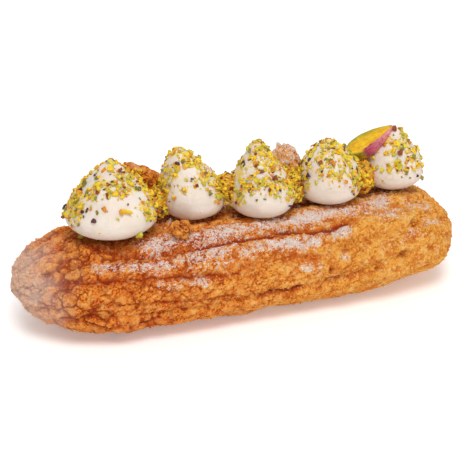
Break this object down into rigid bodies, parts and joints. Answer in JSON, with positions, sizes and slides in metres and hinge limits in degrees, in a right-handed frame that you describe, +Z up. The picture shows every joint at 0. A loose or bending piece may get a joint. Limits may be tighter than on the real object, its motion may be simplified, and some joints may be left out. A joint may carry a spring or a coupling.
{
  "type": "pistachio eclair",
  "caption": "Fluted choux eclair topped with piped cream kisses, chopped pistachio, crumble chunks and a pistachio kernel.",
  "frame": {"origin": "on the table, under the middle of the eclair's bounding box", "axes": "+X along the eclair towards its end with the half kernel, +Z up, -Y towards the side seen in the picture"},
  "size_m": [0.14, 0.0486, 0.0503],
  "materials": {
    "choux_crust": "golden-brown baked choux with a crumbly, cracked crust, dusted with icing sugar",
    "cream": "smooth warm off-white whipped cream",
    "crumble": "golden-brown baked crumble",
    "chopped_pistachio": "yellow-green and brown chopped pistachio",
    "pistachio_flesh": "yellow-green cut kernel with a purple-pink skin"
  },
  "bodies": {
    "root": {"choux_shell": "choux_crust", "cream_kiss_1": "cream", "cream_kiss_2": "cream", "cream_kiss_3": "cream", "cream_kiss_4": "cream", "cream_kiss_5": "cream", "crumble_chunk_1": "crumble", "crumble_chunk_2": "crumble", "crumble_chunk_3": "crumble", "chopped_nuts_1": "chopped_pistachio", "chopped_nuts_2": "chopped_pistachio", "chopped_nuts_3": "chopped_pistachio", "chopped_nuts_4": "chopped_pistachio", "pistachio_kernel": "pistachio_flesh"}
  },
  "joints": []
}
